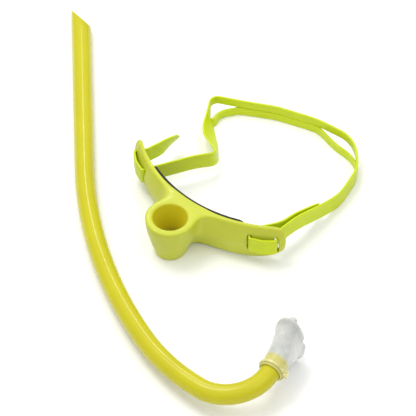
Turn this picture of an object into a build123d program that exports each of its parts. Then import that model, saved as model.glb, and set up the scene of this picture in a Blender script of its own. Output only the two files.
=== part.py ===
"""Front swim snorkel, taken apart: the bent breathing tube with its mouthpiece lies beside the
forehead bracket, which stands on its socket with the head strap threaded through its ends.

Millimetres, +Z up, floor at z = 0. The origin is the axis of the bracket's tube socket, on the floor.
"""

from build123d import *
from math import asin, atan2, cos, degrees, hypot, radians, sin, sqrt, tan
import os

os.makedirs("parts", exist_ok=True)

# ---------------------------------------------------------------- driving dimensions

# Breathing tube
tube_diameter = 18.0
tube_wall = 1.4
straight_length = 190.0
bends = [(468.0, 26.2), (200.0, 21.7), (39.0, 99.4)]  # radius and turn, from the straight run down
end_run = 14.2
top_cut_angle = 32.0
top_cut_roll = 30.0  # the long side of the cut lies this far round from the bend, towards the floor

# Mouthpiece, and the tie round its cuff
cuff_wall = 2.0
cuff_overlap = 13.0
neck_start = 4.6
neck_length = 23.0
mouth_bend = 12.0
neck_width = 31.4
neck_height = 20.4
flange_width = 57.2
flange_height = 29.6
flange_thickness = 2.3
mouth_width = 11.0
mouth_height = 10.2
tab_width = 9.0
tab_thickness = 2.8
tab_length = 10.2
tab_ridge_height = 7.4
tab_ridge_thickness = 2.8
tab_spacing = 21.0
tie_width = 3.0
tie_thickness = 1.1
tie_edge = 2.0
tie_head_width = 5.0
tie_head_height = 4.0

# Forehead bracket
bracket_height = 42.0
plate_bottom = 0.8
plate_inner_radius = 129.0
plate_thickness = 6.6
plate_half_angle = 40.5
socket_setback = 26.7  # socket axis to the plate's inner face
collar_top_diameter = 43.5
collar_foot_diameter = 28.0
collar_rim_fillet = 3.3
web_fillet = 13.3
socket_clearance = 0.05
socket_length = 18.0
funnel_diameter = 31.2
end_rise_length = 40.0
end_tip_height = 24.5
end_corner_radius = 10.0
inner_slot_angle = 26.8
outer_slot_angle = 37.0
slot_width = 3.8

# Forehead pad
pad_thickness = 2.0
pad_half_angle = 24.0
pad_margin = 1.7

# Head strap
strap_width = 17.2
strap_thickness = 2.0
strap_height = 23.0  # centre of the strap where it is threaded
strap_slot_clearance = 0.5
band_gap = 0.4
band_split = 145.0  # the strap is two bands behind this distance from the socket
strap_floor_reach = 139.0
strap_pivot_reach = 71.2
tail_bend = 28.0
fold_bend = 7.2

# Clearances between separate pieces
swivel_clearance = 0.05
soft_clearance = 0.3

# Layout on the floor
bracket_turn = -43.0
tube_top = (-73.8, 282.1)

# ---------------------------------------------------------------- derived sizes and frames

tube_radius = tube_diameter / 2
bore_radius = tube_radius - tube_wall
cuff_radius = tube_radius + swivel_clearance + cuff_wall
socket_radius = tube_radius + socket_clearance
plate_outer_radius = plate_inner_radius + plate_thickness
plate_middle_radius = plate_inner_radius + plate_thickness / 2
plate_centre_y = plate_inner_radius + socket_setback
slot_height = strap_width + 2 * strap_slot_clearance


def heading(angle):
    """Unit vector at an angle, in degrees, in a plane."""
    return cos(radians(angle)), sin(radians(angle))


def bend_arcs():
    """Centre, radius, start angle and turn of each bend, then the end point and its heading."""
    x, y, direction = straight_length, 0.0, 0.0
    arcs = []
    for radius, turn in bends:
        across = heading(direction + 90)
        centre = (x + radius * across[0], y + radius * across[1])
        arcs.append((centre, radius, direction - 90, turn))
        direction += turn
        out = heading(direction - 90)
        x, y = centre[0] + radius * out[0], centre[1] + radius * out[1]
    along = heading(direction)
    return arcs, (x + end_run * along[0], y + end_run * along[1]), direction


arcs, tube_end, end_direction = bend_arcs()
mouth_direction = end_direction + mouth_bend


def ahead(point, direction, distance):
    """The point a distance away from another in the tube's plane."""
    along = heading(direction)
    return point[0] + distance * along[0], point[1] + distance * along[1]


neck_foot = ahead(tube_end, end_direction, neck_start)
flange_point = ahead(neck_foot, mouth_direction, neck_length)

# The tube rests on its straight run and on the lower end of the mouthpiece flange.
flange_span = hypot(flange_point[1], flange_width / 2)
tilt = degrees(atan2(flange_width / 2, flange_point[1]) - asin(tube_radius / flange_span))
tube_normal = (-sin(radians(tilt)), 0, cos(radians(tilt)))
tube_plane = Plane(origin=(*tube_top, tube_radius), x_dir=(0, -1, 0), z_dir=tube_normal)

# The cut at the top faces up the tube, turned by the cut's angle and roll.
cut_lean = cos(radians(top_cut_angle))
cut_facing = (
    -sin(radians(top_cut_angle)),
    cut_lean * cos(radians(top_cut_roll)),
    cut_lean * sin(radians(top_cut_roll)),
)
top_cut = Plane(tube_plane.origin, z_dir=tube_plane.from_local_coords(cut_facing) - tube_plane.origin)


def across_tube(point, direction):
    """Plane square to the tube's course, with its x along the tube plane's normal."""
    along = heading(direction)
    origin = tube_plane.from_local_coords((point[0], point[1], 0))
    facing = tube_plane.from_local_coords((point[0] + along[0], point[1] + along[1], 0)) - origin
    return Plane(origin=origin, x_dir=tube_normal, z_dir=facing)


end_plane = across_tube(tube_end, end_direction)
flange_plane = across_tube(flange_point, mouth_direction)

bracket_x = (*heading(bracket_turn), 0)
bracket_y = (*heading(bracket_turn + 90), 0)
side_plane = Plane(origin=(0, 0, 0), x_dir=bracket_y, z_dir=bracket_x)


def level(height):
    """Horizontal plane of the bracket: x to the wearer's left end, y towards the head."""
    return Plane(origin=(0, 0, height), x_dir=bracket_x, z_dir=(0, 0, 1))


def on_plate(angle, radius):
    """Point at an angle from the middle of the forehead plate and a radius from its centre."""
    return radius * sin(radians(angle)), plate_centre_y - radius * cos(radians(angle))


def plate_plane(angle):
    """Upright plane touching the plate's middle surface, its x along the plate, its y up."""
    x, y = on_plate(angle, plate_middle_radius)
    along, out = heading(angle), heading(angle - 90)
    base = level(0)
    origin = base.from_local_coords((x, y, 0))
    x_dir = base.from_local_coords((*along, 0))
    z_dir = base.from_local_coords((*out, 0))
    return Plane(origin=origin, x_dir=x_dir, z_dir=z_dir)


def mirrored(points, side):
    """Plan points on the right (side 1) or on the left (side -1) of the bracket."""
    return [(side * x, y) for x, y in points]


# ---------------------------------------------------------------- breathing tube


def draw_course():
    """The tube's centre line, from beyond its cut top to its lower end."""
    Line((-tube_diameter, 0), (straight_length, 0))
    for centre, radius, start, turn in arcs:
        CenterArc(centre, radius, start, turn)
    Line(ahead(tube_end, end_direction, -end_run), tube_end)


with BuildPart() as snorkel_tube:
    with BuildLine(tube_plane) as course:
        draw_course()
    with BuildSketch(across_tube((-tube_diameter, 0), 0)):
        Circle(tube_radius)
        Circle(bore_radius, mode=Mode.SUBTRACT)
    sweep(path=course.wire())
    # The top is cut on a slant, longest low down on the side away from the mouthpiece.
    with BuildSketch(top_cut):
        Rectangle(4 * tube_diameter, 4 * tube_diameter)
    extrude(amount=4 * tube_diameter, mode=Mode.SUBTRACT)
snorkel_tube.part.label = "snorkel_tube"
export_step(snorkel_tube.part, "parts/snorkel_tube.step")


# ---------------------------------------------------------------- mouthpiece and its tie

with BuildPart() as mouthpiece:
    # Cuff over the tube's end, closed by the start of the neck
    with BuildSketch(end_plane.offset(-cuff_overlap)):
        Circle(cuff_radius)
    extrude(amount=cuff_overlap + neck_start)
    # Neck, opening from the round cuff to an oval at the flange
    with BuildSketch(end_plane.offset(neck_start)):
        Circle(cuff_radius)
    with BuildSketch(flange_plane):
        Ellipse(neck_width / 2, neck_height / 2)
    loft()
    # Lip flange
    with BuildSketch(flange_plane):
        Ellipse(flange_width / 2, flange_height / 2)
    extrude(amount=flange_thickness)
    # Bite tabs, each a web with a ridge along its end
    with BuildSketch(flange_plane.offset(flange_thickness)):
        with GridLocations(tab_spacing, 0, 2, 1):
            Rectangle(tab_width, tab_thickness)
    extrude(amount=tab_length)
    with BuildSketch(flange_plane.offset(flange_thickness + tab_length - tab_ridge_thickness)):
        with GridLocations(tab_spacing, 0, 2, 1):
            RectangleRounded(tab_width, tab_ridge_height, tab_ridge_thickness / 2)
    extrude(amount=tab_ridge_thickness)
    # Seat for the tube, then the airway through the neck and the flange
    with BuildSketch(end_plane.offset(-cuff_overlap)):
        Circle(tube_radius + swivel_clearance)
    extrude(amount=cuff_overlap + soft_clearance, mode=Mode.SUBTRACT)
    with BuildSketch(end_plane.offset(soft_clearance)):
        Circle(bore_radius)
    with BuildSketch(flange_plane.offset(flange_thickness)):
        Ellipse(mouth_width / 2, mouth_height / 2)
    loft(mode=Mode.SUBTRACT)
mouthpiece.part.label = "mouthpiece"
export_step(mouthpiece.part, "parts/mouthpiece.step")


with BuildPart() as mouthpiece_tie:
    with BuildSketch(end_plane.offset(tie_edge - cuff_overlap)):
        Circle(cuff_radius + tie_thickness)
        Circle(cuff_radius, mode=Mode.SUBTRACT)
    extrude(amount=tie_width)
    # Ratchet head, on the side towards the mouth
    with BuildSketch(end_plane.offset(tie_edge - cuff_overlap - (tie_head_width - tie_width) / 2)):
        with Locations((0, cuff_radius + tie_head_height / 2)):
            RectangleRounded(tie_head_width, tie_head_height, tie_thickness / 2)
        Circle(cuff_radius, mode=Mode.SUBTRACT)
    extrude(amount=tie_head_width)
mouthpiece_tie.part.label = "mouthpiece_tie"
export_step(mouthpiece_tie.part, "parts/mouthpiece_tie.step")


# ---------------------------------------------------------------- forehead bracket

# A web with a hollow corner joins the collar to the plate: its arc touches both.
collar_radius = collar_top_diameter / 2
to_collar = collar_radius + web_fillet
to_plate = plate_outer_radius + web_fillet
web_y = (plate_centre_y**2 + to_collar**2 - to_plate**2) / (2 * plate_centre_y)
web_x = sqrt(to_collar**2 - web_y**2)
collar_touch = (web_x * collar_radius / to_collar, web_y * collar_radius / to_collar)
plate_touch_share = plate_outer_radius / to_plate
plate_touch = (web_x * plate_touch_share, plate_centre_y + (web_y - plate_centre_y) * plate_touch_share)


def band_face(inner, outer, half_angle):
    """Plan of a curved band about the plate's centre, to both sides of the middle."""
    start = -90 - half_angle
    with BuildSketch() as band:
        with BuildLine():
            CenterArc((0, plate_centre_y), inner, start, 2 * half_angle)
            CenterArc((0, plate_centre_y), outer, start, 2 * half_angle)
            for side in (-1, 1):
                Line(on_plate(side * half_angle, inner), on_plate(side * half_angle, outer))
        make_face()
    return band.sketch


def end_waste_face():
    """Everything beyond the rounded end of the right wing, seen square to the plate."""
    tip = plate_middle_radius * tan(radians(plate_half_angle - outer_slot_angle))
    foot = tip - end_rise_length
    rise = end_tip_height - plate_bottom
    corner_height = bracket_height - end_corner_radius
    beyond = tip + 2 * plate_thickness
    with BuildSketch() as waste:
        with BuildLine():
            EllipticalCenterArc((foot, end_tip_height), end_rise_length, rise, 270, arc_size=90)
            Line((tip, end_tip_height), (tip, corner_height))
            CenterArc((tip - end_corner_radius, corner_height), end_corner_radius, 0, 90)
            Polyline(
                (tip - end_corner_radius, bracket_height),
                (tip - end_corner_radius, bracket_height + plate_thickness),
                (beyond, bracket_height + plate_thickness),
                (beyond, plate_bottom - plate_thickness),
                (foot, plate_bottom - plate_thickness),
                (foot, plate_bottom),
            )
        make_face()
    return waste.sketch


def web_face():
    """Plan of the web with its two hollow corners, filled to the plate and to the socket axis."""
    half = degrees(atan2(plate_touch[0], plate_centre_y - plate_touch[1]))
    with BuildSketch() as web:
        with BuildLine():
            CenterArc((0, plate_centre_y), plate_outer_radius, -90 - half, 2 * half)
            for side in (-1, 1):
                touches = mirrored([collar_touch, plate_touch], side)
                RadiusArc(*touches, side * web_fillet)
                Line((0, 0), touches[0])
        make_face()
    return web.sketch


plate_plan = band_face(plate_inner_radius, plate_outer_radius, plate_half_angle)
pad_plan = band_face(plate_inner_radius - pad_thickness, plate_inner_radius, pad_half_angle)
web_plan = web_face()
end_waste = end_waste_face()


with BuildPart() as forehead_bracket:
    with BuildSketch(level(plate_bottom)):
        add(plate_plan)
    extrude(amount=bracket_height - plate_bottom)
    for side in (-1, 1):
        # The left end is the right one turned over, so its sketch is mirrored.
        with BuildSketch(plate_plane(side * outer_slot_angle)):
            add(end_waste if side > 0 else mirror(end_waste, about=Plane.YZ, mode=Mode.PRIVATE))
        extrude(amount=2 * plate_thickness, both=True, mode=Mode.SUBTRACT)
        for angle in (inner_slot_angle, outer_slot_angle):
            with BuildSketch(plate_plane(side * angle)):
                with Locations((0, strap_height)):
                    SlotOverall(slot_height, slot_width, rotation=90)
            extrude(amount=2 * plate_thickness, both=True, mode=Mode.SUBTRACT)
    with BuildSketch(level(plate_bottom)):
        add(web_plan)
    extrude(amount=bracket_height - plate_bottom)
    # Tapered collar with a rounded rim
    with BuildSketch(Plane.XZ):
        with BuildLine():
            Polyline(
                (0, 0),
                (collar_foot_diameter / 2, 0),
                (collar_radius, bracket_height - collar_rim_fillet),
                (collar_radius - collar_rim_fillet, bracket_height),
                (0, bracket_height),
                close=True,
            )
        make_face()
    revolve(axis=Axis.Z)
    # Socket for the tube, with a funnel above it
    with BuildSketch(Plane.XZ):
        Polygon(
            (0, 0),
            (socket_radius, 0),
            (socket_radius, socket_length),
            (funnel_diameter / 2, bracket_height),
            (0, bracket_height),
            align=None,
        )
    revolve(axis=Axis.Z, mode=Mode.SUBTRACT)
forehead_bracket.part.label = "forehead_bracket"
export_step(forehead_bracket.part, "parts/forehead_bracket.step")


with BuildPart() as forehead_pad:
    with BuildSketch(level(plate_bottom + pad_margin)):
        add(pad_plan)
    extrude(amount=bracket_height - plate_bottom - 2 * pad_margin)
forehead_pad.part.label = "forehead_pad"
export_step(forehead_pad.part, "parts/forehead_pad.step")


# ---------------------------------------------------------------- head strap

# The strap crosses the bridge between the slots as a chord, clear of the bridge at its middle.
bridge_half_angle = (outer_slot_angle - inner_slot_angle) / 2
over_bridge = plate_outer_radius + soft_clearance + strap_thickness / 2
over_bridge /= cos(radians(bridge_half_angle))
under_plate = plate_inner_radius - soft_clearance - strap_thickness / 2
slot_exit = under_plate - strap_thickness
pivot_gap = strap_pivot_reach - strap_width / 2 - soft_clearance

# On the right the strap comes in by the outer slot, on the left by the inner one.
right_inlet, right_outlet = outer_slot_angle, inner_slot_angle
left_inlet, left_outlet = -inner_slot_angle, -outer_slot_angle
right_side = [on_plate(right_inlet, slot_exit), (79.5, 100.0), (81.0, 138.0), (73.5, 172.5), (50.0, 194.5)]
back = [(9.0, 193.5), (-29.0, 181.5), (-61.0, 164.5)]
left_side = [(-84.5, 152.5), (-58.0, 119.5), (-28.0, 97.0), (-35.5, 81.0), on_plate(left_inlet, slot_exit)]
loop_route = right_side + back + left_side
loop_radii = [67, 67, 39, 39, 67, 67, 67, fold_bend, 67, fold_bend, 22]
right_tail = [on_plate(right_outlet, slot_exit), (63.5, 66.5), (75.0, 115.5)]
left_tail = [on_plate(left_outlet, slot_exit), (-71.5, 70.0), (-71.0, 92.5)]


def stop_short(start, end, reach):
    """Where a strip from start to end stops, so that its corner is at a reach behind the socket."""
    step_x, step_y = end[0] - start[0], end[1] - start[1]
    reach -= strap_thickness / 2 * abs(step_x) / hypot(step_x, step_y)
    return start[0] + (reach - start[1]) / step_y * step_x, reach


def strap_end_face(inlet, outlet, next_point, tail):
    """Plan of an end: in from the loop, out and back through the two slots, then the free tail."""
    entry = on_plate(inlet, slot_exit)
    with BuildSketch() as strip:
        with BuildLine():
            FilletPolyline(
                stop_short(entry, next_point, pivot_gap),
                entry,
                on_plate(inlet, over_bridge),
                on_plate(outlet, over_bridge),
                *tail,
                radius=[strap_thickness] * 4 + [tail_bend],
            )
        trace(line_width=strap_thickness)
    return strip.sketch


strap_ends = {
    "strap_right_end": strap_end_face(right_inlet, right_outlet, right_side[1], right_tail),
    "strap_left_end": strap_end_face(left_inlet, left_outlet, left_side[-2], left_tail),
}

for name, plan in strap_ends.items():
    with BuildPart() as strap_end:
        with BuildSketch(level(strap_height - strap_width / 2)):
            add(plan)
        extrude(amount=strap_width)
    strap_end.part.label = name
    export_step(strap_end.part, f"parts/{name}.step")


with BuildPart() as head_strap:
    with BuildSketch(level(0)):
        with BuildLine():
            FilletPolyline(*loop_route, radius=loop_radii)
        trace(line_width=strap_thickness)
    extrude(amount=bracket_height)
    # Seen from the side it has a round end at the bracket and sinks to the floor behind.
    low, high = strap_height - strap_width / 2, strap_height + strap_width / 2
    with BuildSketch(side_plane):
        Polygon(
            (strap_pivot_reach, low),
            (strap_floor_reach, 0),
            (2 * strap_floor_reach, 0),
            (2 * strap_floor_reach, strap_width),
            (strap_floor_reach, strap_width),
            (strap_pivot_reach, high),
            align=None,
        )
        with Locations((strap_pivot_reach, strap_height)):
            Circle(strap_width / 2)
    extrude(amount=plate_outer_radius, both=True, mode=Mode.INTERSECT)
    # A slit makes it two bands behind the head.
    with BuildSketch(side_plane):
        with Locations((band_split, strap_width / 2)):
            Rectangle(strap_floor_reach, band_gap, align=(Align.MIN, Align.CENTER))
    extrude(amount=plate_outer_radius, both=True, mode=Mode.SUBTRACT)
head_strap.part.label = "head_strap"
export_step(head_strap.part, "parts/head_strap.step")
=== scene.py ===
import math

import bmesh
import bpy
import numpy as np
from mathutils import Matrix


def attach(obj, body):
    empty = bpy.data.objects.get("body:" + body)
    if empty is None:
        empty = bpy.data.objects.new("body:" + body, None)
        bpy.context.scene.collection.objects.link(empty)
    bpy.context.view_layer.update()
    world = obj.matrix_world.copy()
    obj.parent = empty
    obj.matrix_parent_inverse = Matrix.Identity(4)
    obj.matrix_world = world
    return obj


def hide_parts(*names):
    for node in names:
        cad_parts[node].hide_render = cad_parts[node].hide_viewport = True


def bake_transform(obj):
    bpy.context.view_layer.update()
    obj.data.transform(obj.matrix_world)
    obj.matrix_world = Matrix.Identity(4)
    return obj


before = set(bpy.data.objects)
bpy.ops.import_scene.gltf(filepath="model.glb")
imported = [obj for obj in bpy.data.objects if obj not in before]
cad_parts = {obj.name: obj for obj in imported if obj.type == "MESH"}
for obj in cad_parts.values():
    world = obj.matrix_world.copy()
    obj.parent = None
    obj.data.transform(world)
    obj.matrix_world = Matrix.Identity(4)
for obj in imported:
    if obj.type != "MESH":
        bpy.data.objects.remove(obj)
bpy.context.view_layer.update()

import openvdb
from mathutils import Vector

MM = 0.001

# ---------------------------------------------------------------- sizes, in millimetres

# Breathing tube: it lies in a plane that leans up from its straight run
TUBE_RADIUS = 9.0
TUBE_WALL = 1.4
TUBE_STRAIGHT = 190.0
TUBE_BENDS = [(468.0, 26.2), (200.0, 21.7), (39.0, 99.4)]
TUBE_END_RUN = 14.2
TUBE_TOP = (-73.8, 282.1)
TUBE_LEAN = 6.53
TOP_CUT = 32.0
TOP_CUT_ROLL = 30.0

# Mouthpiece
CUFF_RADIUS = 11.05
CUFF_OVERLAP = 13.0
NECK_START = 4.6
NECK_LENGTH = 23.0
NECK_FLARE = (1.2, 14.0)
MOUTH_BEND = 7.0
FLANGE_HALF_WIDTH = 12.6
FLANGE_HALF_HEIGHT = 25.4
FLANGE_HALF_THICK = 1.1
FLANGE_SHIFT = 0.8
NOTCH_RADIUS = 5.5
NOTCH_REACH = 14.8
TAB_OFFSET = 10.5
TAB_HALF_WIDTH = 4.5
TAB_HALF_THICK = 1.4
TAB_LENGTH = 13.0
AIRWAY_RADIUS = 7.6

# Cable tie round the cuff
TIE_EDGE = 2.0
TIE_WIDTH = 3.0
TIE_THICK = 1.1
TIE_TEETH = 60
TIE_HEAD = (5.0, 4.2, 4.8)
TIE_TAIL_LIFT = 2.3

# Bracket, seen in its own frame: x along the forehead, y towards the head
BRACKET_TURN = -43.0
PLATE_RADIUS = 129.0
PLATE_THICK = 6.6
PLATE_CENTRE = 155.7
PLATE_BOTTOM = 0.8
BRACKET_TOP = 42.0
PLATE_HALF_ANGLE = 40.5
SLOT_ANGLES = (26.8, 37.0)
SLOT_WIDTH = 3.8
SLOT_HEIGHT = 18.2
TIP_HEIGHT = 24.5
END_RISE = 40.0
COLLAR_TOP = 22.0
COLLAR_FOOT = 14.0
SOCKET_RADIUS = 9.05
SOCKET_LENGTH = 18.0
FUNNEL_RADIUS = 15.6
END_CORNER = 10.0
FRONT_MARGIN = 1.0
FRONT_SWELL = 3.0
SWELL_REACH = 34.0
CREASE_HEIGHT = 22.0
CREASE_SLOPE = 0.22
COLLAR_BLEND = 20.0
PAD_THICK = 2.0
PAD_HALF_ANGLE = 24.0
PAD_BOTTOM = 3.9
PAD_TOP_GAP = 0.6
PAD_CORNER = 5.0

# Strap
STRAP_WIDTH = 17.2
STRAP_THICK = 2.0
STRAP_HEIGHT = 23.0
STRAP_PIVOT = 71.2
STRAP_EDGE = 0.75
FLOOR_REACH = 139.0
BAND_SPLIT = 143.0
LEFT_SPLIT = 128.0
SPLIT_EASE = 16.0
RIGHT_HOLE, RIGHT_HOLE_HALF = (40.0, 194.0), 36.0
LEFT_HOLE, LEFT_HOLE_HALF = (-80.0, 152.5), 42.0
FOLD = (-29.0, 92.0)
TAIL_ROUNDING = 7.5


def heading(angle):
    return np.array([math.cos(math.radians(angle)), math.sin(math.radians(angle))])


BRACKET_X = heading(BRACKET_TURN)
BRACKET_Y = heading(BRACKET_TURN + 90)


def from_bracket(points):
    """Bracket frame in millimetres to row frame in metres."""
    p = np.asarray(points, float)
    plan = p[:, :1] * BRACKET_X + p[:, 1:2] * BRACKET_Y
    return np.column_stack([plan, p[:, 2]]) * MM


def from_tube(points):
    """Tube frame (down the straight run, towards the mouthpiece, up) to row frame in metres."""
    p = np.asarray(points, float)
    lean = math.radians(TUBE_LEAN)
    x = TUBE_TOP[0] + p[:, 1] * math.cos(lean) - p[:, 2] * math.sin(lean)
    y = TUBE_TOP[1] - p[:, 0]
    z = TUBE_RADIUS + p[:, 1] * math.sin(lean) + p[:, 2] * math.cos(lean)
    return np.column_stack([x, y, z]) * MM


def add_mesh(name, points, faces, material, smooth=True):
    mesh = bpy.data.meshes.new(name)
    mesh.from_pydata([tuple(p) for p in points], [], [tuple(map(int, f)) for f in faces])
    mesh.validate()
    mesh.update()
    mesh.materials.append(material)
    mesh.polygons.foreach_set("use_smooth", [smooth] * len(mesh.polygons))
    piece = bpy.data.objects.new(name, mesh)
    bpy.context.scene.collection.objects.link(piece)
    return piece


# ---------------------------------------------------------------- materials


def new_material(name):
    material = bpy.data.materials.new(name)
    material.use_nodes = True
    nodes = material.node_tree.nodes
    return material, nodes, material.node_tree.links, nodes["Principled BSDF"]


NOISE_LOW, NOISE_HIGH = 0.3, 0.7


def noise(nodes, links, scale, detail=4.0, rough=0.5):
    """Noise in object space, in features per metre."""
    coord = nodes.new("ShaderNodeTexCoord")
    texture = nodes.new("ShaderNodeTexNoise")
    texture.inputs["Scale"].default_value = scale
    texture.inputs["Detail"].default_value = detail
    texture.inputs["Roughness"].default_value = rough
    links.new(coord.outputs["Object"], texture.inputs["Vector"])
    return texture


def ramp(nodes, links, source, low, high):
    """From one colour to another over the usual spread of the noise."""
    mix = nodes.new("ShaderNodeValToRGB")
    mix.color_ramp.elements[0].position = NOISE_LOW
    mix.color_ramp.elements[0].color = (*low, 1)
    mix.color_ramp.elements[1].position = NOISE_HIGH
    mix.color_ramp.elements[1].color = (*high, 1)
    links.new(source, mix.inputs["Fac"])
    return mix.outputs["Color"]


def value_range(nodes, links, source, low, high):
    """From one value to another over the usual spread of the noise."""
    spread = nodes.new("ShaderNodeMapRange")
    spread.inputs["From Min"].default_value = NOISE_LOW
    spread.inputs["From Max"].default_value = NOISE_HIGH
    spread.inputs["To Min"].default_value = low
    spread.inputs["To Max"].default_value = high
    links.new(source, spread.inputs["Value"])
    return spread.outputs["Result"]


def bump(nodes, links, shader, source, strength, distance):
    node = nodes.new("ShaderNodeBump")
    node.inputs["Strength"].default_value = strength
    node.inputs["Distance"].default_value = distance
    links.new(source, node.inputs["Height"])
    links.new(node.outputs["Normal"], shader.inputs["Normal"])


def moulded(name, low, high, roughness, grain, strength, subsurface=0.0, coat=0.0):
    """Moulded plastic or rubber: cloudy colour, fine grain, roughness that varies a little."""
    material, nodes, links, shader = new_material(name)
    cloud = noise(nodes, links, 28.0, 3.0)
    links.new(ramp(nodes, links, cloud.outputs["Fac"], low, high), shader.inputs["Base Color"])
    fine = noise(nodes, links, grain, 5.0, 0.6)
    rough = value_range(nodes, links, fine.outputs["Fac"], roughness - 0.04, roughness + 0.05)
    links.new(rough, shader.inputs["Roughness"])
    bump(nodes, links, shader, fine.outputs["Fac"], strength, 0.0001)
    shader.inputs["Subsurface Weight"].default_value = subsurface
    shader.inputs["Subsurface Radius"].default_value = (1.0, 0.9, 0.2)
    shader.inputs["Subsurface Scale"].default_value = 0.003
    shader.inputs["Specular IOR Level"].default_value = 0.3
    shader.inputs["Coat Weight"].default_value = coat
    shader.inputs["Coat Roughness"].default_value = 0.06
    return material


TUBE_PAINT = moulded(
    "tube_yellow", (0.50, 0.46, 0.008), (0.54, 0.50, 0.010), roughness=0.22, grain=300.0, strength=0.015
)
BRACKET_PAINT = moulded(
    "bracket_lime", (0.50, 0.54, 0.034), (0.54, 0.58, 0.040), roughness=0.38, grain=600.0, strength=0.10,
    subsurface=0.1, coat=0.1,
)
STRAP_PAINT = moulded(
    "strap_lime", (0.53, 0.63, 0.006), (0.57, 0.67, 0.008), roughness=0.40, grain=800.0, strength=0.10,
    subsurface=0.15,
)


def paint_socket_shade(material, colour):
    """Painted shade and bounced light: a deeper, more saturated colour inside the socket and its funnel,
    by height and distance from their axis.
    """
    nodes, links = material.node_tree.nodes, material.node_tree.links
    shader = nodes["Principled BSDF"]
    coord = nodes.new("ShaderNodeTexCoord")
    flat = nodes.new("ShaderNodeVectorMath")
    flat.operation = "MULTIPLY"
    flat.inputs[1].default_value = (1, 1, 0)
    links.new(coord.outputs["Object"], flat.inputs[0])
    reach = nodes.new("ShaderNodeVectorMath")
    reach.operation = "LENGTH"
    links.new(flat.outputs["Vector"], reach.inputs[0])
    height = nodes.new("ShaderNodeSeparateXYZ")
    links.new(coord.outputs["Object"], height.inputs["Vector"])
    wall = nodes.new("ShaderNodeMapRange")
    wall.inputs["From Min"].default_value = SOCKET_LENGTH * MM
    wall.inputs["From Max"].default_value = BRACKET_TOP * MM
    wall.inputs["To Min"].default_value = (SOCKET_RADIUS + 1.0) * MM
    wall.inputs["To Max"].default_value = (FUNNEL_RADIUS + 0.4) * MM
    links.new(height.outputs["Z"], wall.inputs["Value"])
    beyond = nodes.new("ShaderNodeMath")
    beyond.operation = "SUBTRACT"
    links.new(reach.outputs["Value"], beyond.inputs[0])
    links.new(wall.outputs["Result"], beyond.inputs[1])
    spread = nodes.new("ShaderNodeMapRange")
    spread.interpolation_type = "SMOOTHSTEP"
    spread.inputs["From Min"].default_value = -0.8 * MM
    spread.inputs["From Max"].default_value = 0.6 * MM
    spread.inputs["To Min"].default_value = 0.9
    spread.inputs["To Max"].default_value = 0.0
    links.new(beyond.outputs["Value"], spread.inputs["Value"])
    mix = nodes.new("ShaderNodeMix")
    mix.data_type = "RGBA"
    mix.inputs["B"].default_value = (*colour, 1)
    links.new(shader.inputs["Base Color"].links[0].from_socket, mix.inputs["A"])
    links.new(spread.outputs["Result"], mix.inputs["Factor"])
    links.new(mix.outputs["Result"], shader.inputs["Base Color"])


# Painted shade and bounced light inside the socket, as a deeper colour on the moulding.
paint_socket_shade(BRACKET_PAINT, (0.60, 0.52, 0.012))


def foam_material():
    material, nodes, links, shader = new_material("pad_black")
    pores = noise(nodes, links, 1500.0, 2.0, 0.7)
    links.new(
        ramp(nodes, links, pores.outputs["Fac"], (0.006, 0.006, 0.006), (0.022, 0.022, 0.022)),
        shader.inputs["Base Color"],
    )
    links.new(value_range(nodes, links, pores.outputs["Fac"], 0.75, 0.95), shader.inputs["Roughness"])
    bump(nodes, links, shader, pores.outputs["Fac"], 0.5, 0.0004)
    shader.inputs["Sheen Weight"].default_value = 0.2
    return material


def silicone_material():
    """Milky silicone, in which the yellow tube shows through the cuff."""
    material, nodes, links, shader = new_material("mouthpiece_clear")
    milk = noise(nodes, links, 90.0, 4.0, 0.6)
    grey = ramp(nodes, links, milk.outputs["Fac"], (0.50, 0.51, 0.48), (0.66, 0.67, 0.64))
    mix = nodes.new("ShaderNodeMix")
    mix.data_type = "RGBA"
    mix.inputs["B"].default_value = (0.60, 0.55, 0.10, 1)
    links.new(grey, mix.inputs["A"])
    links.new(cuff_share(nodes, links), mix.inputs["Factor"])
    links.new(mix.outputs["Result"], shader.inputs["Base Color"])
    fine = noise(nodes, links, 300.0, 4.0, 0.6)
    links.new(value_range(nodes, links, fine.outputs["Fac"], 0.24, 0.38), shader.inputs["Roughness"])
    bump(nodes, links, shader, fine.outputs["Fac"], 0.1, 0.0002)
    shader.inputs["Transmission Weight"].default_value = 0.08
    shader.inputs["IOR"].default_value = 1.41
    shader.inputs["Subsurface Weight"].default_value = 0.25
    shader.inputs["Subsurface Radius"].default_value = (1.0, 1.0, 0.95)
    shader.inputs["Subsurface Scale"].default_value = 0.004
    return material


def cuff_share(nodes, links):
    """1 over the tube's end, fading to 0 up the neck, from the position along the tube's end."""
    coord = nodes.new("ShaderNodeTexCoord")
    along = nodes.new("ShaderNodeVectorMath")
    along.operation = "DOT_PRODUCT"
    along.inputs[1].default_value = tuple(END_DIRECTION_ROW)
    links.new(coord.outputs["Object"], along.inputs[0])
    spread = nodes.new("ShaderNodeMapRange")
    spread.interpolation_type = "SMOOTHSTEP"
    spread.inputs["From Min"].default_value = END_REACH_ROW - 0.0025
    spread.inputs["From Max"].default_value = END_REACH_ROW + 0.0010
    spread.inputs["To Min"].default_value = 0.85
    spread.inputs["To Max"].default_value = 0.0
    links.new(along.outputs["Value"], spread.inputs["Value"])
    return spread.outputs["Result"]


def nylon_material():
    material, nodes, links, shader = new_material("tie_clear")
    milk = noise(nodes, links, 200.0, 2.0)
    links.new(
        ramp(nodes, links, milk.outputs["Fac"], (0.62, 0.58, 0.18), (0.72, 0.68, 0.26)),
        shader.inputs["Base Color"],
    )
    links.new(value_range(nodes, links, milk.outputs["Fac"], 0.25, 0.4), shader.inputs["Roughness"])
    bump(nodes, links, shader, milk.outputs["Fac"], 0.1, 0.0002)
    shader.inputs["Transmission Weight"].default_value = 0.2
    shader.inputs["IOR"].default_value = 1.5
    return material


# ---------------------------------------------------------------- breathing tube


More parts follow.
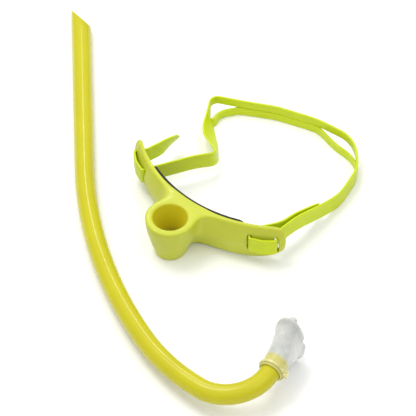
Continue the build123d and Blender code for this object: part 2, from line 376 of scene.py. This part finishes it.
def tube_course():
    """Centre line as (point, direction in degrees) stations, then its end and the direction there."""
    stations = []
    position, direction = np.zeros(2), 0.0
    for length in np.linspace(0, TUBE_STRAIGHT, 60)[:-1]:
        stations.append((position + heading(0) * length, 0.0))
    position = heading(0) * TUBE_STRAIGHT
    for radius, turn in TUBE_BENDS:
        centre = position + heading(direction + 90) * radius
        count = max(24, int(radius * math.radians(turn) / 2.5))
        for part in np.linspace(0, turn, count)[:-1]:
            stations.append((centre + heading(direction + part - 90) * radius, direction + part))
        direction += turn
        position = centre + heading(direction - 90) * radius
    for length in np.linspace(0, TUBE_END_RUN, 8):
        stations.append((position + heading(direction) * length, direction))
    return stations, position + heading(direction) * TUBE_END_RUN, direction


COURSE, TUBE_END, END_DIRECTION = tube_course()
END_POINT = np.array([*TUBE_END, 0.0])
END_ALONG = np.array([*heading(END_DIRECTION), 0.0])
END_ACROSS = np.array([*heading(END_DIRECTION + 90), 0.0])
END_ROW, BEYOND_ROW = from_tube([END_POINT, END_POINT + END_ALONG])
END_DIRECTION_ROW = (BEYOND_ROW - END_ROW) / MM
END_REACH_ROW = float(END_ROW @ END_DIRECTION_ROW)

PAD_FOAM = foam_material()
SILICONE = silicone_material()
NYLON = nylon_material()


def make_tube():
    """A hollow tube: out along its outer wall, over the rounded lip, and back inside."""
    around = 64
    angles = np.linspace(0, 2 * math.pi, around, endpoint=False)
    inner = TUBE_RADIUS - TUBE_WALL
    lip = 0.35
    rings = []

    def ring(point, direction, radius, shift=0.0):
        """One ring; near the top its points slide along the tube to lie on the slanted cut."""
        along = np.array([*heading(direction), 0.0])
        across = np.array([*heading(direction + 90), 0.0])
        up = np.array([0.0, 0.0, 1.0])
        centre = np.array([*point, 0.0])
        offsets = np.outer(np.cos(angles), across) + np.outer(np.sin(angles), up)
        return centre + radius * offsets + shift * along

    def top_ring(radius, inset):
        points = ring((0, 0), 0.0, radius)
        rolled = points[:, 1:] @ heading(TOP_CUT_ROLL)
        points[:, 0] = rolled / math.tan(math.radians(TOP_CUT)) + inset
        return points

    cut_reach = 1.9 * TUBE_RADIUS
    clear_of_cut = [s for s in COURSE if s[0][0] > cut_reach or s[1] > 0]
    rings.append(top_ring(TUBE_RADIUS - lip, 0.0))
    rings.append(top_ring(TUBE_RADIUS - 0.1, 0.12))
    rings.append(top_ring(TUBE_RADIUS, lip))
    rings += [ring(p, d, TUBE_RADIUS) for p, d in clear_of_cut[:-1]]
    end, direction = clear_of_cut[-1]
    rings.append(ring(end, direction, TUBE_RADIUS, -lip))
    rings.append(ring(end, direction, TUBE_RADIUS - lip))
    rings.append(ring(end, direction, inner + lip))
    rings.append(ring(end, direction, inner, -lip))
    rings += [ring(p, d, inner) for p, d in reversed(clear_of_cut[:-1])]
    rings.append(top_ring(inner, lip))
    rings.append(top_ring(inner + lip, 0.0))
    points = np.concatenate(rings)
    faces = []
    total = len(rings)
    for i in range(total):
        a, b = i * around, (i + 1) % total * around
        for j in range(around):
            k = (j + 1) % around
            faces.append((a + j, a + k, b + k, b + j))
    piece = add_mesh("breathing_tube", from_tube(points), faces, TUBE_PAINT)
    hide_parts("snorkel_tube")
    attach(piece, "snorkel")


# ---------------------------------------------------------------- smooth solids from distances


def smooth_join(a, b, k):
    h = np.clip(0.5 + 0.5 * (b - a) / k, 0, 1)
    return b + (a - b) * h - k * h * (1 - h)


def smooth_cut(a, b, k):
    """Where both a and b are inside, with an edge rounded by about k."""
    return -smooth_join(-a, -b, k)


def solid_from_distance(name, distance, low, high, voxel, to_row, material):
    """Mesh of where distance(x, y, z) is negative, in a box of millimetres."""
    low, high = np.array(low, float), np.array(high, float)
    counts = np.ceil((high - low) / voxel).astype(int) + 1
    axes = [low[i] + voxel * np.arange(counts[i]) for i in range(3)]
    x, y, z = np.meshgrid(*axes, indexing="ij")
    field = np.clip(distance(x, y, z), -3 * voxel, 3 * voxel).astype(np.float32)
    grid = openvdb.FloatGrid(3 * voxel)
    grid.copyFromArray(field)
    points, triangles, quads = grid.convertToPolygons(isovalue=0.0, adaptivity=0.0)
    points = low + points.astype(float) * voxel
    faces = [tuple(f[::-1]) for f in triangles] + [tuple(f[::-1]) for f in quads]
    piece = add_mesh(name, to_row(points), faces, material)
    relax = piece.modifiers.new("relax", "SMOOTH")
    relax.factor, relax.iterations = 0.5, 3
    bpy.context.view_layer.objects.active = piece
    with bpy.context.temp_override(object=piece, active_object=piece):
        bpy.ops.object.modifier_apply(modifier=relax.name)
    return piece


# ---------------------------------------------------------------- forehead bracket


def plate_edge(s):
    """Height of the plate's lower edge at a distance along it: straight, then rising to the tip."""
    tip = math.radians(PLATE_HALF_ANGLE) * (PLATE_RADIUS + PLATE_THICK / 2)
    beyond = np.clip((np.abs(s) - (tip - END_RISE)) / END_RISE, 0, 1)
    return TIP_HEIGHT - (TIP_HEIGHT - PLATE_BOTTOM) * np.sqrt(1 - beyond**2 * 0.999)


def bracket_distance(x, y, z):
    from_centre = np.hypot(x, y - PLATE_CENTRE)
    s = np.arctan2(x, PLATE_CENTRE - y) * (PLATE_RADIUS + PLATE_THICK / 2)
    tip = math.radians(PLATE_HALF_ANGLE) * (PLATE_RADIUS + PLATE_THICK / 2)
    # Plate: its front face has a faint crease along its middle and swells towards the collar.
    crease = CREASE_SLOPE * (np.hypot(z - CREASE_HEIGHT, 2.0) - 2.0)
    swell = FRONT_SWELL * np.exp(-((s / SWELL_REACH) ** 2))
    front = PLATE_RADIUS + PLATE_THICK + FRONT_MARGIN - crease + swell
    thick = np.maximum(from_centre - front, PLATE_RADIUS - from_centre)
    past_s = np.abs(s) - (tip - END_CORNER)
    past_z = z - (BRACKET_TOP - END_CORNER)
    corner = np.hypot(np.maximum(past_s, 0), np.maximum(past_z, 0)) - END_CORNER
    outline = smooth_cut(np.abs(s) - tip, (plate_edge(s) - z) * 0.8, 3.0)
    outline = np.maximum(outline, np.where((past_s > 0) & (past_z > 0), corner, -END_CORNER))
    plate = smooth_cut(thick, outline, 2.4)
    # Collar, wider at the rim, with a rounded foot
    rho = np.hypot(x, y)
    rise = np.clip(z / BRACKET_TOP, 0, 1)
    wall = COLLAR_FOOT + (COLLAR_TOP - COLLAR_FOOT) * np.sin(rise * math.pi / 2 * 0.96) ** 1.15
    collar = (rho - wall) * 0.98
    body = smooth_join(collar, smooth_cut(plate, PLATE_BOTTOM - z, 0.6), COLLAR_BLEND)
    body = smooth_cut(body, z - BRACKET_TOP, 2.2)
    body = smooth_cut(body, -z, 0.8)
    # Keep the inner face true to the forehead arc.
    body = smooth_cut(body, PLATE_RADIUS - from_centre, 0.8)
    # Socket and funnel
    funnel = np.clip((z - SOCKET_LENGTH) / (BRACKET_TOP - SOCKET_LENGTH), 0, 1.2)
    opening = SOCKET_RADIUS + (FUNNEL_RADIUS - SOCKET_RADIUS) * (0.65 * funnel + 0.35 * funnel**2)
    body = smooth_cut(body, opening - rho, 1.6)
    # Strap slots
    for angle in SLOT_ANGLES:
        place = math.radians(angle) * (PLATE_RADIUS + PLATE_THICK / 2)
        across = np.abs(np.abs(s) - place)
        up = np.abs(z - STRAP_HEIGHT) - (SLOT_HEIGHT - SLOT_WIDTH) / 2
        slot = np.hypot(across, np.maximum(up, 0)) - SLOT_WIDTH / 2
        body = smooth_cut(body, -slot, 0.9)
    return body


def make_bracket():
    reach = 93.0
    piece = solid_from_distance(
        "bracket_moulding",
        bracket_distance,
        (-reach, -24.0, -1.5),
        (reach, 62.0, BRACKET_TOP + 1.5),
        0.55,
        from_bracket,
        BRACKET_PAINT,
    )
    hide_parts("forehead_bracket")
    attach(piece, "bracket")


def make_pad():
    """Foam strip with soft edges along the inside of the plate."""

    def distance(x, y, z):
        from_centre = np.hypot(x, y - PLATE_CENTRE)
        s = np.arctan2(x, PLATE_CENTRE - y) * PLATE_RADIUS
        half = math.radians(PAD_HALF_ANGLE) * PLATE_RADIUS
        low, high = PAD_BOTTOM, BRACKET_TOP - PAD_TOP_GAP
        middle = (low + high) / 2
        corner_x = np.maximum(np.abs(s) - (half - PAD_CORNER), 0)
        corner_z = np.maximum(np.abs(z - middle) - ((high - low) / 2 - PAD_CORNER), 0)
        outline = np.hypot(corner_x, corner_z) - PAD_CORNER
        skin = np.maximum(from_centre - PLATE_RADIUS, PLATE_RADIUS - PAD_THICK - from_centre)
        return smooth_cut(skin, outline, 1.0)

    piece = solid_from_distance(
        "forehead_foam",
        distance,
        (-57.0, 23.0, 2.0),
        (57.0, 42.0, BRACKET_TOP + 1.0),
        0.4,
        from_bracket,
        PAD_FOAM,
    )
    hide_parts("forehead_pad")
    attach(piece, "bracket")


# ---------------------------------------------------------------- head strap


def on_plate(angle, radius):
    turn = math.radians(angle)
    return np.array([radius * math.sin(turn), PLATE_CENTRE - radius * math.cos(turn)])


def rounded_line(points, radii, step):
    """Plan line through corners rounded by arcs, as points about a step apart."""
    out = [np.array(points[0], float)]
    for i in range(1, len(points) - 1):
        here = np.array(points[i], float)
        back = np.array(points[i - 1], float) - here
        on = np.array(points[i + 1], float) - here
        reach_back, reach_on = np.linalg.norm(back), np.linalg.norm(on)
        back, on = back / reach_back, on / reach_on
        half = math.acos(np.clip(back @ on, -1, 1)) / 2
        radius = radii[i - 1]
        cut = min(radius / math.tan(half), 0.49 * reach_back, 0.49 * reach_on)
        start, end = here + back * cut, here + on * cut
        out.append(start)
        bend = math.pi - 2 * half
        count = max(2, int(bend * cut * math.tan(half) / step))
        middle = here + (back + on) / np.linalg.norm(back + on) * cut / math.cos(half)
        a, b = start - middle, end - middle
        for part in np.linspace(0, 1, count + 1)[1:]:
            weight_a = math.sin((1 - part) * bend) / math.sin(bend)
            weight_b = math.sin(part * bend) / math.sin(bend)
            out.append(middle + a * weight_a + b * weight_b)
    out.append(np.array(points[-1], float))
    line = [out[0]]
    for point in out[1:]:
        gap = np.linalg.norm(point - line[-1])
        if gap < 1e-6:
            continue
        count = max(1, int(gap / step))
        start = line[-1]
        line += [start + (point - start) * part for part in np.linspace(0, 1, count + 1)[1:]]
    return np.array(line)


def strap_centre_height(reach):
    """Height of the strap's middle: level at the bracket, then sinking to the floor."""
    part = np.clip((reach - STRAP_PIVOT) / (FLOOR_REACH - STRAP_PIVOT), 0, 1)
    return STRAP_HEIGHT + (STRAP_WIDTH / 2 - STRAP_HEIGHT) * part * part * (3 - 2 * part)


def bulge(distance, centre, half):
    """A smooth hump along the strap: 1 at centre, 0 beyond half on either side."""
    part = np.clip(1 - np.abs(distance - centre) / half, 0, 1)
    return part * part * (3 - 2 * part)


def rise(distance, start, end):
    """A smooth step along the strap, 0 at start and 1 at end; end may come before start."""
    part = np.clip((distance - start) / (end - start), 0, 1)
    return part * part * (3 - 2 * part)


def softened(line, run, sigma):
    """The plan line averaged over a length sigma, given at each point, so corners are cut."""
    out = np.empty_like(line)
    for i, width in enumerate(sigma):
        if width < 0.05:
            out[i] = line[i]
            continue
        weight = np.exp(-0.5 * ((run - run[i]) / width) ** 2)
        out[i] = weight @ line / weight.sum()
    return out


SLOT_EXIT = PLATE_RADIUS - 0.3 - 1.5 * STRAP_THICK
OVER_BRIDGE = PLATE_RADIUS + PLATE_THICK + 1.3
INNER, OUTER = SLOT_ANGLES
STRAP_ROUTE = [
    (77.0, 115.0), (72.0, 67.0), on_plate(INNER, SLOT_EXIT), on_plate(INNER, OVER_BRIDGE + 0.4),
    on_plate((INNER + OUTER) / 2, OVER_BRIDGE + 1.6),
    on_plate(OUTER, OVER_BRIDGE + 0.4), on_plate(OUTER, SLOT_EXIT),
    (79.5, 100.0), (81.0, 138.0), (73.5, 172.5), (50.0, 194.5),
    (9.0, 193.5), (-29.0, 181.5), (-61.0, 164.5),
    (-84.5, 152.5), (-58.0, 119.5), (-27.0, 96.0), (-35.5, 81.0),
    on_plate(-INNER, SLOT_EXIT), on_plate(-INNER, OVER_BRIDGE + 0.4),
    on_plate(-(INNER + OUTER) / 2, OVER_BRIDGE + 1.6),
    on_plate(-OUTER, OVER_BRIDGE + 0.4), on_plate(-OUTER, SLOT_EXIT),
    (-71.5, 70.0), (-71.0, 92.5),
]
STRAP_RADII = [
    28, 2.0, 2.0, 15, 2.0, 2.0,
    67, 67, 39, 39, 67, 67, 67, 7.2, 67, 10.5, 22,
    2.0, 2.0, 15, 2.0, 2.0, 28,
]


def half_profile(side):
    """Half of the strap's section, from its middle on one face round its edge to the other.

    Points are (across the thickness, up the width); faint ribs run along both faces.
    """
    half, deep, edge = STRAP_WIDTH / 2, STRAP_THICK / 2, STRAP_EDGE
    ups = np.linspace(0, half - edge, 15)
    ribs = 0.07 * (np.cos(2 * math.pi * ups / (half / 3)) - 1)
    face = [(deep + rib, up) for up, rib in zip(ups, ribs)]
    turn = np.linspace(0, math.pi / 2, 4)[1:]
    corner = [(deep - edge + edge * math.cos(t), half - edge + edge * math.sin(t)) for t in turn]
    profile = face + corner
    profile += [(-a, u) for a, u in reversed(profile)]
    return np.array([(a, side * u) for a, u in profile])


def across_of(line, run):
    tangent = np.gradient(line, run, axis=0)
    tangent /= np.linalg.norm(tangent, axis=1)[:, None]
    return np.column_stack([-tangent[:, 1], tangent[:, 0]])


def half_sections(profile, course, sideways, height, lean, taper):
    """Points of one half of the strap: its profile set along the course, tapered and leaned."""
    points = []
    for i in range(len(course)):
        cos_lean, sin_lean = math.cos(lean[i]), math.sin(lean[i])
        for across, up in profile:
            up = up * taper[i]
            out = across * cos_lean + up * sin_lean
            x, y = course[i] + sideways[i] * out
            points.append((x, y, height[i] + up * cos_lean - across * sin_lean))
    return points


def half_faces(base, count, split, flip):
    """Faces of one half, closed across its middle where the bands are parted, with both end caps."""
    faces = []
    last = len(split) - 1
    for i in range(last):
        rows = [(base + i * count + j, base + (i + 1) * count + j) for j in range(count)]
        closing = split[i] > 0 or split[i + 1] > 0
        for j in range(count if closing else count - 1):
            a, b = rows[j], rows[(j + 1) % count]
            face = (a[0], b[0], b[1], a[1])
            faces.append(face[::-1] if flip else face)
    for i, turned in ((0, True), (last, False)):
        cap = tuple(base + i * count + j for j in range(count))
        faces.append(cap[::-1] if turned != flip else cap)
    return faces


def make_strap():
    line = rounded_line(STRAP_ROUTE, STRAP_RADII, 0.8)
    run = np.concatenate([[0], np.cumsum(np.linalg.norm(np.diff(line, axis=0), axis=1))])
    height = strap_centre_height(line[:, 1])
    whole = run[-1]

    def run_near(place):
        """Distance along the strap of its point nearest to a place in plan."""
        return run[np.hypot(line[:, 0] - place[0], line[:, 1] - place[1]).argmin()]

    # The two bands part where the strap bends behind the head, a little sooner on the left.
    parting = np.where(line[:, 0] < 0, LEFT_SPLIT, BAND_SPLIT)
    back = np.where(line[:, 1] > parting)[0]
    first, last = back[0], back[-1]
    split = rise(run, run[first], run[first] + SPLIT_EASE) * rise(run, run[last], run[last] - SPLIT_EASE)
    split[: first + 2], split[last - 1 :] = 0, 0
    part_right = bulge(run, run_near(RIGHT_HOLE), RIGHT_HOLE_HALF) * split
    part_left = bulge(run, run_near(LEFT_HOLE), LEFT_HOLE_HALF) * split
    # The lower band cuts the left corner, and keeps inside the upper one at both holes.
    lower_line = softened(line, run, 19.0 * np.minimum(1, 1.5 * part_left))
    left, lower_left = across_of(line, run), across_of(lower_line, run)
    lower_line = lower_line + lower_left * (7.5 * part_right + 1.5 * part_left + 0.35 * split)[:, None]
    upper_line = line - left * (1.5 * part_right)[:, None]
    upper_height = height + 0.25 * split + 0.6 * part_right + 0.8 * part_left
    # Lean of the strap off upright, in degrees: in the fold, and along the left and the right tail
    lean = np.radians(
        -42.0 * bulge(run, 0.5 * (run_near(FOLD) + run_near(LEFT_HOLE)) + 3.0, 42.0)
        - 26.0 * rise(run, whole - 26.0, whole)
        + 5.0 * rise(run, 42.0, 0.0)
    )
    tip = np.minimum(run, whole - run)
    taper = np.sqrt(np.clip(1 - (1 - np.minimum(tip / TAIL_ROUNDING, 1)) ** 2, 0.12, 1))
    upper, lower = half_profile(1), half_profile(-1)
    count = len(upper)
    points = half_sections(upper, upper_line, left, upper_height, lean, taper)
    faces = half_faces(0, count, split, False)
    faces += half_faces(len(points), count, split, True)
    points += half_sections(lower, lower_line, lower_left, height, lean, taper)
    piece = add_mesh("strap_moulding", from_bracket(points), faces, STRAP_PAINT)
    join_seams(piece)
    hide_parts("head_strap", "strap_left_end", "strap_right_end")
    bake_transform(piece)


def join_seams(piece):
    """Merge the shared middle of the two halves and set the faces outwards."""
    work = bmesh.new()
    work.from_mesh(piece.data)
    bmesh.ops.remove_doubles(work, verts=work.verts, dist=1e-6)
    bmesh.ops.recalc_face_normals(work, faces=work.faces)
    work.to_mesh(piece.data)
    work.free()


# ---------------------------------------------------------------- mouthpiece and tie


def oval(a, b, half_a, half_b):
    """Rough distance outside an oval."""
    size = np.sqrt((a / half_a) ** 2 + (b / half_b) ** 2)
    return (size - 1) * np.minimum(half_a, half_b)


def mouthpiece_distance(x, y, z):
    """Frame: x along the tube's end, y across it, z up from the tube's plane."""
    bend = math.radians(MOUTH_BEND)
    # Coordinates along and across the mouth's axis
    rel = x - NECK_START
    u = rel * math.cos(bend) + y * math.sin(bend)
    v = -rel * math.sin(bend) + y * math.cos(bend)
    share = np.clip((x + 4.0) / (NECK_LENGTH + NECK_START + 4.0), 0, 1)
    ease = share * share * (3 - 2 * share)
    # The neck follows the bend and opens to a tall oval.
    centre = np.where(rel > 0, rel * math.tan(bend) * np.clip(rel / 11.0, 0, 1), 0)
    across = y - centre
    flare_side, flare_tall = NECK_FLARE
    neck = oval(z, across, CUFF_RADIUS + flare_tall * share**1.2, CUFF_RADIUS + flare_side * share)
    body = smooth_cut(neck, np.maximum(-CUFF_OVERLAP - x, u - NECK_LENGTH + 1.5), 1.2)
    # Lip flange: a thin oval, curved round the teeth and notched in the middle of its long edges
    lift = u - NECK_LENGTH + 0.9 - 0.002 * z**2
    sideways = v + FLANGE_SHIFT
    outline = oval(z, sideways, FLANGE_HALF_HEIGHT, FLANGE_HALF_WIDTH)
    flange = smooth_cut(np.abs(lift) - FLANGE_HALF_THICK, outline, 1.4)
    for side in (-1, 1):
        notch = NOTCH_RADIUS - np.hypot(z, sideways - side * NOTCH_REACH)
        flange = smooth_cut(flange, notch, 1.5)
    body = smooth_join(body, flange, 5.0)
    # Bite tabs with thick ends
    past_tab = np.abs(np.abs(z) - TAB_OFFSET) - TAB_HALF_WIDTH
    web = np.maximum(past_tab, np.abs(v) - TAB_HALF_THICK)
    web = smooth_cut(web, np.abs(lift - 5.5) - TAB_LENGTH / 2, 1.2)
    swell = np.hypot(np.maximum(np.abs(v) - TAB_HALF_THICK - 1.0, 0), lift - 9.9) - 1.5
    tabs = smooth_join(web, smooth_cut(past_tab, swell, 1.2), 1.6)
    body = smooth_join(body, tabs, 1.8)
    # Airway, and the seat of the tube's end
    hollow = oval(z, across, AIRWAY_RADIUS - 1.6 * ease, AIRWAY_RADIUS - 2.5 * ease)
    body = smooth_cut(body, -np.maximum(hollow, -x), 1.0)
    seat = np.maximum(np.hypot(y, z) - TUBE_RADIUS - 0.05, x - 0.3)
    return smooth_cut(body, -seat, 0.3)


def from_tube_end(points):
    p = np.asarray(points, float)
    place = END_POINT + p[:, :1] * END_ALONG + p[:, 1:2] * END_ACROSS
    place[:, 2] += p[:, 2]
    return from_tube(place)


def make_mouthpiece():
    piece = solid_from_distance(
        "mouthpiece_silicone",
        mouthpiece_distance,
        (-14.0, -19.0, -31.0),
        (49.0, 27.0, 31.0),
        0.5,
        from_tube_end,
        SILICONE,
    )
    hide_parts("mouthpiece")
    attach(piece, "mouthpiece")


def make_tie():
    """Cable tie: a ribbed band, its ratchet head and the trimmed tail."""
    start = -CUFF_OVERLAP + TIE_EDGE
    middle = start + TIE_WIDTH / 2
    head_length, head_thick, head_width = TIE_HEAD

    def distance(x, y, z):
        rho = np.hypot(y, z)
        along = np.abs(x - middle)
        teeth = 0.12 * np.cos(np.arctan2(z, y) * TIE_TEETH)
        skin = np.abs(rho - CUFF_RADIUS - TIE_THICK / 2) - TIE_THICK / 2 + 0.12 + teeth * 0.5
        band = np.maximum(skin, along - TIE_WIDTH / 2)
        above = -y - CUFF_RADIUS
        head = smooth_cut(along - head_length / 2, np.abs(z) - head_width / 2, 0.7)
        head = smooth_cut(head, np.abs(above - head_thick / 2) - head_thick / 2, 0.7)
        slot = np.maximum(along - TIE_WIDTH / 2, np.abs(above - TIE_TAIL_LIFT) - 0.75)
        head = np.maximum(head, -slot)
        tail = np.maximum(along - TIE_WIDTH / 2 - 0.3, np.abs(above - TIE_TAIL_LIFT) - 0.5)
        tail = np.maximum(tail, np.abs(z + 0.8) - 3.0)
        return np.minimum(np.minimum(band, head), tail)

    piece = solid_from_distance(
        "cuff_tie",
        distance,
        (start - 2.5, -17.0, -14.0),
        (start + TIE_WIDTH + 2.5, 14.0, 14.0),
        0.3,
        from_tube_end,
        NYLON,
    )
    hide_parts("mouthpiece_tie")
    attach(piece, "mouthpiece")


# ---------------------------------------------------------------- studio


def make_camera():
    """Camera at the viewing angle: 48 degrees down, turned a little, from 2.95 metres."""
    azimuth, elevation, distance = math.radians(-2.42), math.radians(48.0), 2.954
    target = Vector((0.0351, 0.0467, 0.0))
    back = Vector((math.sin(azimuth) * math.cos(elevation),
                   -math.cos(azimuth) * math.cos(elevation), math.sin(elevation)))
    data = bpy.data.cameras.new("camera")
    camera = bpy.data.objects.new("camera", data)
    bpy.context.scene.collection.objects.link(camera)
    data.sensor_width = 36.0
    data.lens = 286.9
    data.clip_start, data.clip_end = 0.1, 20.0
    camera.location = target + back * distance
    camera.rotation_mode = "QUATERNION"
    camera.rotation_quaternion = (-back).to_track_quat("-Z", "Y")
    bpy.context.scene.camera = camera


def make_light(name, place, size, power, target=(0.02, 0.04, 0.0)):
    data = bpy.data.lights.new(name, "AREA")
    data.shape, data.size, data.energy = "DISK", size, power
    light = bpy.data.objects.new(name, data)
    bpy.context.scene.collection.objects.link(light)
    light.location = place
    aim = Vector(target) - Vector(place)
    light.rotation_mode = "QUATERNION"
    light.rotation_quaternion = aim.to_track_quat("-Z", "Y")


def make_floor():
    material, _, _, shader = new_material("floor_white")
    shader.inputs["Base Color"].default_value = (0.93, 0.93, 0.93, 1)
    shader.inputs["Roughness"].default_value = 0.9
    shader.inputs["Specular IOR Level"].default_value = 0.1
    half = 6.0
    corners = [(-half, -half, 0), (half, -half, 0), (half, half, 0), (-half, half, 0)]
    floor = add_mesh("floor", corners, [(0, 1, 2, 3)], material, smooth=False)


def make_world():
    """White surroundings, brighter overhead than at the sides."""
    world = bpy.data.worlds.new("studio")
    bpy.context.scene.world = world
    world.use_nodes = True
    nodes, links = world.node_tree.nodes, world.node_tree.links
    background = nodes["Background"]
    background.inputs["Strength"].default_value = 1.0
    sky = nodes.new("ShaderNodeTexCoord")
    parts = nodes.new("ShaderNodeSeparateXYZ")
    fade = nodes.new("ShaderNodeMapRange")
    fade.inputs["From Min"].default_value = -0.1
    fade.inputs["From Max"].default_value = 0.9
    fade.inputs["To Min"].default_value = 0.2
    fade.inputs["To Max"].default_value = 1.28
    links.new(sky.outputs["Generated"], parts.inputs["Vector"])
    links.new(parts.outputs["Z"], fade.inputs["Value"])
    links.new(fade.outputs["Result"], background.inputs["Color"])


def make_studio():
    make_floor()
    make_world()
    make_light("key", (-0.6, 0.5, 2.0), 1.0, 15.0)
    make_light("fill", (1.0, -0.6, 1.9), 1.4, 3.0)
    # A small light behind draws the bright line along the tube.
    make_light("glint", (-0.08, 1.9, 2.0), 0.3, 5.0)
    bpy.context.scene.view_settings.view_transform = "Standard"


make_camera()
make_studio()
make_tube()
make_bracket()
make_pad()
make_strap()
make_mouthpiece()
make_tie()
